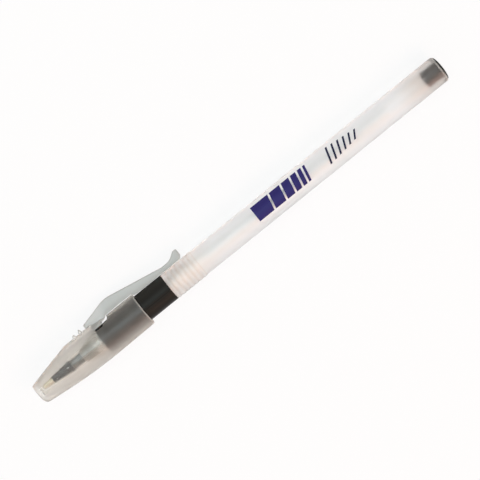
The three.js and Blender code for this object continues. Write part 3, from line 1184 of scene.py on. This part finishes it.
@dataclass
class Refill:
    """The ink tube, its ink, the point holder, the brass and the ball. Sizes in millimetres."""

    tube_radius: float = 1.5
    tube_bore: float = 1.0
    ink_radius: float = 0.97
    ink_middle: float = 0.01
    fit: float = 0.03
    room: float = 0.05
    holder_front: float = 1.05
    holder_rear: float = 1.7
    holder_bore: float = 0.35
    stem_bore: float = 0.61
    stem_room: float = 3.65
    brass_front: float = 0.58
    brass_waist: float = 0.68
    brass_shoulder: float = 0.95
    brass_stem: float = 0.58
    channel: float = 0.2
    socket: float = 0.53
    lip: float = 0.485
    ball_radius: float = 0.5
    ball_rings: int = 33

    def build(self) -> None:
        """Builds and dresses the refill's five pieces."""
        keen = Corner.KEEN
        front, end = AXES.span("ink_tube")
        tube = [
            (self.tube_bore, front, keen),
            (self.tube_radius, front, keen),
            (self.tube_radius, end, keen),
            (self.tube_bore, end, keen),
        ]
        dress(turned("ink_tube_wall", tube, 3), TUBE_PLASTIC, Body.PEN, "ink_tube")
        ink_front, ink_end = AXES.span("ink_column")
        ink = [
            (self.ink_middle, ink_front, 0),
            (self.ink_radius, ink_front, keen),
            (self.ink_radius, ink_end, Corner.CRISP),
            (self.ink_middle, ink_end, 0),
        ]
        dress(turned("ink_fill", ink, 3, False, 48), BLACK_INK, Body.PEN, "ink_column")
        self.build_point(front - self.room)

    def build_point(self, flange: float) -> None:
        """Builds and dresses the point holder, the brass tip and the ball.

        Args:
            flange: where the holder's flange meets the ink tube along the pen.
        """
        keen = Corner.KEEN
        front, end = AXES.span("point_holder")
        plug = self.tube_bore - self.fit
        holder = [
            (self.stem_bore, front, keen),
            (self.holder_front, front, Corner.CRISP),
            (self.holder_rear, flange, Corner.SOFT),
            (plug, flange, keen),
            (plug, end, keen),
            (self.holder_bore, end, keen),
            (self.holder_bore, front + self.stem_room, keen),
            (self.stem_bore, front + self.stem_room, keen),
        ]
        dress(turned("point_holder_moulding", holder, 0.6), DARK_PLASTIC, Body.PEN, "point_holder")
        rim, stem_end = AXES.span("brass_tip")
        ball_front, ball_end = AXES.span("writing_ball")
        centre = (ball_front + ball_end) / 2
        floor = ball_end + self.fit
        shoulder = front - self.room
        brass = [
            (self.lip, rim, 0.02),
            (self.brass_front, rim, 0.03),
            (self.brass_waist, centre, keen),
            (self.brass_shoulder, shoulder, keen),
            (self.brass_stem, shoulder, 0.02),
            (self.brass_stem, stem_end, keen),
            (self.channel, stem_end, 0.02),
            (self.channel, floor, 0.02),
            (self.socket, floor, 0.02),
            (self.socket, centre, 0.05),
        ]
        dress(turned("brass_tip_turned", brass, 0.4), TIP_BRASS, Body.PEN, "brass_tip")
        sweep = np.linspace(0, math.pi, self.ball_rings)[1:-1]
        ball = sharp(self.ball_radius * np.sin(sweep), centre - self.ball_radius * np.cos(sweep))
        dress(turned("ball", ball, 1.0, False, 48), BALL_STEEL, Body.BALL, "writing_ball")


@dataclass
class Cap:
    """The frosted cap: an outside whose clip side and far side differ, its hollow and its slot."""

    tip_radius: float = 2.4
    tip_round: float = 1.5
    far_shoulder: float = 4.1
    far_bulge: float = 5.62
    far_rim: float = 5.38
    bulge_along: float = 22.4
    top_radius: float = 5.68
    top_slope: float = 0.235
    top_softness: float = 0.12
    far_gap: float = 1.0
    back_radius: float = 5.02
    rim_round: float = 0.35
    end_wall: float = 1.4
    bore_tip: float = 2.3
    bore_waist: float = 3.5
    bore_waist_along: float = 12.0
    front_bore: float = 3.62
    seat_bore: float = 3.94
    seat_flare: float = 0.2
    flare_before: float = 0.15
    flare_past: float = 0.1
    cut_past: float = 1.0
    slot_start: float = 23.88
    slot_step: float = 26.73
    slot_turn: float = 28.13
    slot_end: float = 29.08
    slot_run: float = 0.3
    slot_floor: tuple[float, float, float] = (3.3, 3.8, 4.4)
    slot_roof: tuple[float, float, float] = (3.92, 4.5, 4.85)
    slot_mouth: float = 0.45
    seam: float = 0.02
    tooth_width: float = 1.05
    teeth: tuple[tuple[float, float], ...] = ((18.03, 0.9), (20.18, 1.2))
    tooth_reach: float = 1.5
    tooth_flare: float = 0.1
    tooth_sink: float = 0.6
    lip: float = 0.1
    tip_rings: int = 12
    body_rings: int = 132
    edge_rings: int = 7
    sides: int = 144

    def outside(self, name: str) -> Object:
        """The cap's full outside. Each ring is a circle between the two sides' outlines.

        Its radius is the mean of the two distances and its centre lies half their difference off the axis.

        Args:
            name: the object's name.

        Returns:
            The closed solid, before the hollow and the slot are cut.
        """
        rim = AXES.span("cap")[1]
        tip = self.tip_round * (1 - np.cos(np.linspace(0, math.pi / 2, self.tip_rings)))
        body = np.linspace(self.tip_round, rim - self.rim_round, self.body_rings)[1:]
        edge = np.linspace(0, math.pi / 2, self.edge_rings)[1:]
        place = np.concatenate([tip, body, rim - self.rim_round * (1 - np.sin(edge))])
        inset = np.concatenate([np.zeros(len(tip) + len(body)), self.rim_round * (1 - np.cos(edge))])
        clip_side, far_side = self.clip_side(place), self.far_side(place, rim)
        radius = ((clip_side + far_side) / 2 - inset)[:, None]
        drift = ((clip_side - far_side) / 2)[:, None]
        return ringed(name, radius, place[:, None], self.sides, False, drift)

    def far_side(self, place: Array, rim: float) -> Array:
        """How far the outside lies from the axis on the far side: quarter ellipse, quarter sine, parabola.

        Args:
            place: places along the pen.
            rim: where the cap's rim lies.

        Returns:
            One distance for each place.
        """
        back = 1 - np.clip(place / self.tip_round, 0, 1)
        tip = self.tip_radius + (self.far_shoulder - self.tip_radius) * np.sqrt(1 - back**2)
        part = np.clip((place - self.tip_round) / (self.bulge_along - self.tip_round), 0, 1)
        swell = (self.far_bulge - self.far_shoulder) * np.sin(part * math.pi / 2)
        fall = np.clip((place - self.bulge_along) / (rim - self.bulge_along), 0, 1)
        return tip + swell - (self.far_bulge - self.far_rim) * fall**2

    def clip_side(self, place: Array) -> Array:
        """How far the outside lies from the axis under the clip: a slope, level, then down at the slot.

        Half of slope + level - root(gap squared + softness squared) is a smooth minimum of the two. Where
        the slope lies more than far_gap under the level, half the softness is added.

        Args:
            place: places along the pen.

        Returns:
            One distance for each place.
        """
        back = np.clip((place - self.slot_start) / (self.slot_end - self.slot_start), 0, 1)
        level = self.top_radius + (self.back_radius - self.top_radius) * back
        slope = self.tip_radius + self.top_slope * place
        gap = slope - level
        added = self.top_softness * (gap < -self.far_gap)
        return (slope + level - np.sqrt(gap**2 + self.top_softness**2) + added) / 2

    def slot_block(self) -> Array:
        """The outline of what the slot and the clip's root take from the cap.

        The floor runs low over the section, steps up to where the pen can be seen through, and turns up.

        Returns:
            (height, along) rows.
        """
        low, high, rear = self.slot_floor
        return filleted(
            [
                (low, self.slot_start, 0),
                (low, self.slot_step, 0.15),
                (high, self.slot_step + self.slot_run, 0.15),
                (high, self.slot_turn, 0.3),
                (rear, self.slot_end, 0.3),
                (BEYOND, self.slot_end, 0),
                (BEYOND, self.slot_start, 0),
            ]
        )

    def tongue_block(self) -> Array:
        """The outline of the part of the cap's wall that the clip grows from.

        Returns:
            (height, along) rows.
        """
        roof = self.roof_corners(0)
        beyond = [(BEYOND, roof[-1][1], 0), (BEYOND, roof[0][1], 0)]
        roundings = (0, 0.15, 0.15, 0.3, 0.1)
        return filleted([(*corner, rounding) for corner, rounding in zip(roof, roundings)] + beyond)

    def roof_corners(self, lift: float) -> list[tuple[float, float]]:
        """The slot's roof from its front to its rear, half a step's run ahead of the floor.

        Args:
            lift: how much higher than the roof the corners lie.

        Returns:
            (height, along) corners.
        """
        low, high, rear = (height + lift for height in self.slot_roof)
        lag = self.slot_run / 2
        return [
            (low, self.slot_start + self.seam),
            (low, self.slot_step - lag),
            (high, self.slot_step + lag),
            (high, self.slot_turn - lag),
            (rear, self.slot_end - self.slot_mouth),
        ]

    def tooth(self, place: float, height: float) -> Object:
        """A small pointed tooth that stands on the cap's top.

        Args:
            place: where it stands along the pen.
            height: how high it is.

        Returns:
            The tooth, its foot sunk into the cap.
        """
        half = self.tooth_width / 2
        foot, sunk = self.top_radius - self.tooth_flare, self.top_radius - self.tooth_sink
        rows = [
            (sunk, place - half - self.tooth_flare, 0),
            (foot, place - half, 0),
            (self.top_radius + height, place, 0.1),
            (foot, place + half, 0),
            (sunk, place + half + self.tooth_flare, 0),
        ]
        return prism("tooth", filleted(rows), self.tooth_reach)

    def build(self) -> None:
        """Builds and dresses the cap and the fine bead where its rim's rounded edge catches the light.

        The bead follows the rim: its drift is that of the cap's outside there, and its radius is less by
        half of lip.
        """
        piece = self.outside("cap_moulding")
        for place, height in self.teeth:
            combined(piece, self.tooth(place, height), "UNION")
        rim = AXES.span("cap")[1]
        hollow = [
            (NEAR_AXIS, self.end_wall, 0),
            (self.bore_tip, self.end_wall, 0.5),
            (self.bore_waist, self.bore_waist_along, 4),
            (self.front_bore, self.slot_start, 0.05),
            (self.seat_bore, self.slot_start, 0.05),
            (self.seat_bore, rim - self.flare_before, 0.05),
            (self.seat_bore + self.seat_flare, rim + self.flare_past, 0),
            (self.seat_bore + self.seat_flare, rim + self.cut_past, 0),
            (NEAR_AXIS, rim + self.cut_past, 0),
        ]
        combined(piece, turned("hollow", hollow, 1.5, False, self.sides), "DIFFERENCE")
        combined(piece, prism("slot", self.slot_block()), "DIFFERENCE")
        dress(piece, FROSTED_CAP, Body.CAP, "cap")
        radius = (self.back_radius + self.far_rim) / 2 - self.lip / 2
        drift = (self.back_radius - self.far_rim) / 2
        # The bead follows the rim's rounded edge; its finish is a painted highlight.
        lip = bead("cap_rim_highlight_bead", radius, drift, rim - self.rim_round / 2, self.lip)
        dress(lip, CAP_RIM_HIGHLIGHT, Body.CAP, None)


@dataclass
class PocketClip:
    """The clip: a deep blade with a crest, a dip and a raised foot, on the tongue that it grows from."""

    cap: Cap
    root: float = 22.18
    root_height: float = 6.85
    crest_height: float = 8.95
    crest_start: float = 30.38
    crest_end: float = 32.38
    dip_start: float = 49.78
    dip_end: float = 52.68
    dip_height: float = 5.71
    foot_start: float = 55.18
    foot_height: float = 7.32
    end: float = 56.38
    undercut: float = 0.7
    undercut_height: float = 5.2
    underside: float = 4.31
    ramp_end: float = 41.53
    arch_start: float = 33.38
    arch_height: float = 5.28
    arch_room: float = 0.18
    heel: float = 0.35
    heel_height: float = 4.42
    sunk: float = 0.06
    root_run: float = 0.6
    root_width: float = 3.0
    foot_width: float = 2.4
    edge: float = 0.3
    edge_steps: int = 5
    arc_steps: int = 8

    def side_outline(self, rim: float) -> Array:
        """The blade seen from the side, with its corners rounded.

        Args:
            rim: where the cap's rim lies along the pen.

        Returns:
            (height, along) rows.
        """
        cap = self.cap
        arch = cap.back_radius + self.arch_room
        roof = [(height, place - self.sunk, 0.1) for height, place in cap.roof_corners(self.sunk)[:0:-1]]
        corners = [
            (cap.top_radius + cap.seam, self.root, 0),
            (self.root_height, self.root, 0.25),
            (self.crest_height, self.crest_start, 9),
            (self.crest_height, self.crest_end, 9),
            (self.dip_height, self.dip_start, 7),
            (self.dip_height, self.dip_end, 4),
            (self.foot_height, self.foot_start, 0.8),
            (self.foot_height, self.end, 0.3),
            (self.undercut_height, self.end, 0.4),
            (self.underside, self.end - self.undercut, 0.3),
            (self.underside, self.ramp_end, 8),
            (self.heel_height, rim + self.heel, 0.5),
            (arch, rim, 0.3),
            (self.arch_height, self.arch_start, 20),
            (arch, cap.slot_end, 1),
            *roof,
            (cap.slot_roof[0] + self.sunk, cap.slot_start + self.root_run, 0),
            (cap.top_radius + cap.seam, cap.slot_start + cap.seam, 0),
        ]
        return filleted(corners, steps=self.arc_steps)

    def blade(self) -> Object:
        """The blade: its outline carried across, drawn in by a quarter circle towards each side face.

        Half the width falls evenly from the root to the foot. The inset moves each point along the outline's
        normal, the turned difference of its neighbours.

        Returns:
            The new object.
        """
        outline = self.side_outline(AXES.span("cap")[1])
        ahead = np.roll(outline, -1, axis=0)
        chord = ahead - np.roll(outline, 1, axis=0)
        chord /= np.linalg.norm(chord, axis=1, keepdims=True)
        inward = np.column_stack([-chord[:, 1], chord[:, 0]])
        area = np.sum(outline[:, 0] * ahead[:, 1] - ahead[:, 0] * outline[:, 1])
        inward *= np.sign(area)
        part = (outline[:, 1] - self.root) / (self.end - self.root)
        half = (self.root_width + (self.foot_width - self.root_width) * part) / 2
        layers = []
        for turn in np.linspace(0, math.pi / 2, self.edge_steps):
            drawn_in = outline + inward * self.edge * (1 - math.sin(turn))
            layers.append(np.column_stack([drawn_in, self.edge * (1 - math.cos(turn)) - half]))
        mirrored = [layer * np.array([1, 1, -1]) for layer in reversed(layers)]
        return stacked("pocket_clip_moulding", np.stack(layers + mirrored))

    def build(self) -> None:
        """Builds and dresses the clip."""
        piece = self.blade()
        tongue = self.cap.outside("tongue")
        combined(tongue, prism("tongue_block", self.cap.tongue_block()), "INTERSECT")
        combined(piece, tongue, "UNION")
        dress(piece, FROSTED_CLIP, Body.CLIP, "pocket_clip")


@dataclass(frozen=True)
class Lamp:
    """A soft round lamp.

    Args:
        name: its name.
        place: where it stands, in metres. It shines at the frame's origin.
        size: its width, in metres.
        power: its strength, in watts.
        colour: its light, linear.
    """

    name: str
    place: tuple[float, float, float]
    size: float
    power: float
    colour: Colour

    def build(self) -> None:
        """Adds the lamp."""
        data = bpy.data.lights.new(self.name, "AREA")
        data.shape, data.size, data.energy, data.color = "DISK", self.size, self.power, self.colour
        lamp = placed(self.name, data)
        lamp.location = self.place
        lamp.rotation_euler = Vector(self.place).to_track_quat("Z", "Y").to_euler()


@dataclass
class Studio:
    """The white floor, the soft lights and the camera.

    Sizes are in millimetres and the aim is in the pen's axes. The lamps and nearest, the shortest distance
    that the camera sees, are in metres.
    """

    picture_tilt: float = math.radians(38.9)
    clip_turn: float = math.radians(3.0)
    distance: float = 520.0
    picture_width: float = 137.1
    aim_along: float = 72.3
    aim_height: float = -2.3
    sensor: float = 36.0
    nearest: float = 0.01
    floor_half: float = 3000.0
    floor_glow: float = 0.88
    floor_white: float = 0.9
    floor_roughness: float = 0.9
    sky: float = 0.6
    lamps: tuple[Lamp, ...] = (
        Lamp("cool_window", (0.15, -0.64, 0.77), 0.42, 2.6, (0.70, 0.94, 1.0)),
        Lamp("warm_fill", (-0.2, 0.45, 0.87), 0.66, 4.2, (1.0, 0.54, 0.38)),
    )

    def camera(self) -> None:
        """Sets the camera nearly square to the clip's plane, rolled so that the pen runs up to the right."""
        cos, sin = math.cos(self.picture_tilt), math.sin(self.picture_tilt)
        out = AXES.out * math.cos(self.clip_turn) + AXES.across * math.sin(self.clip_turn)
        right = cos * AXES.along - sin * out
        up = sin * AXES.along + cos * out
        back = np.cross(right, up)
        aim = AXES.to_frame(np.array([self.aim_height, self.aim_along, 0.0]))
        place = aim + back * self.distance * MM
        data = bpy.data.cameras.new("photo_camera")
        data.sensor_width = self.sensor
        data.lens = self.sensor * self.distance / self.picture_width
        data.clip_start = self.nearest
        camera = placed("photo_camera", data)
        rows = np.column_stack([right, up, back, place]).tolist()
        camera.matrix_world = Matrix([*rows, (0, 0, 0, 1)])
        bpy.context.scene.camera = camera

    def world(self) -> None:
        """Adds an even white world, full for what is seen and dimmer for what lights the pen."""
        world = bpy.data.worlds.new("studio")
        bpy.context.scene.world = world
        world.use_nodes = True
        bench = Bench(world.node_tree)
        seen = bench.rays("Is Camera Ray", "Is Transmission Ray")
        strength = bench.maths("MULTIPLY_ADD", seen, 1.0 - self.sky, self.sky)
        bench.feed(world.node_tree.nodes["Background"], {"Color": (1, 1, 1, 1), "Strength": strength})

    def floor(self) -> None:
        """Lays the white floor, which keeps the pen's shadow.

        What the camera and see-through or shiny pieces see of it is mostly its own light, and the rest is
        what falls on it.
        """
        half = self.floor_half * MM
        mesh = bpy.data.meshes.new("floor")
        corners = [(-half, -half, 0), (half, -half, 0), (half, half, 0), (-half, half, 0)]
        mesh.from_pydata(corners, [], [[0, 1, 2, 3]])
        floor = placed("floor", mesh)
        material, bench, shader = new_material("floor_white")
        white = (self.floor_white, self.floor_white, self.floor_white, 1)
        matt = {"Roughness": self.floor_roughness, "Specular IOR Level": 0.0}
        bench.feed(shader, {"Base Color": white, **matt})
        seen = bench.rays("Is Camera Ray", "Is Transmission Ray", "Is Glossy Ray")
        glow = bench.add("ShaderNodeEmission", {"Color": (1, 1, 1, 1), "Strength": 1.0})
        share = bench.maths("MULTIPLY", seen, self.floor_glow)
        mix = bench.add("ShaderNodeMixShader", {0: share, 1: shader.outputs[0], 2: glow.outputs[0]})
        output = next(node for node in bench.tree.nodes if node.type == "OUTPUT_MATERIAL")
        bench.feed(output, {"Surface": mix.outputs[0]})
        mesh.materials.append(material)

    def build(self) -> None:
        """Builds the camera, the lights and the floor."""
        self.camera()
        for lamp in self.lamps:
            lamp.build()
        self.world()
        self.floor()
        bpy.context.scene.view_settings.view_transform = "Standard"


def main() -> None:
    """Builds the studio and every piece."""
    logging.basicConfig(level=logging.INFO, format="%(name)s: %(message)s")
    cap = Cap()
    for part in (Studio(), Barrel(), BarrelPrint(), FrontSection(), Refill(), cap, PocketClip(cap)):
        part.build()


if __name__ == "__main__":
    main()
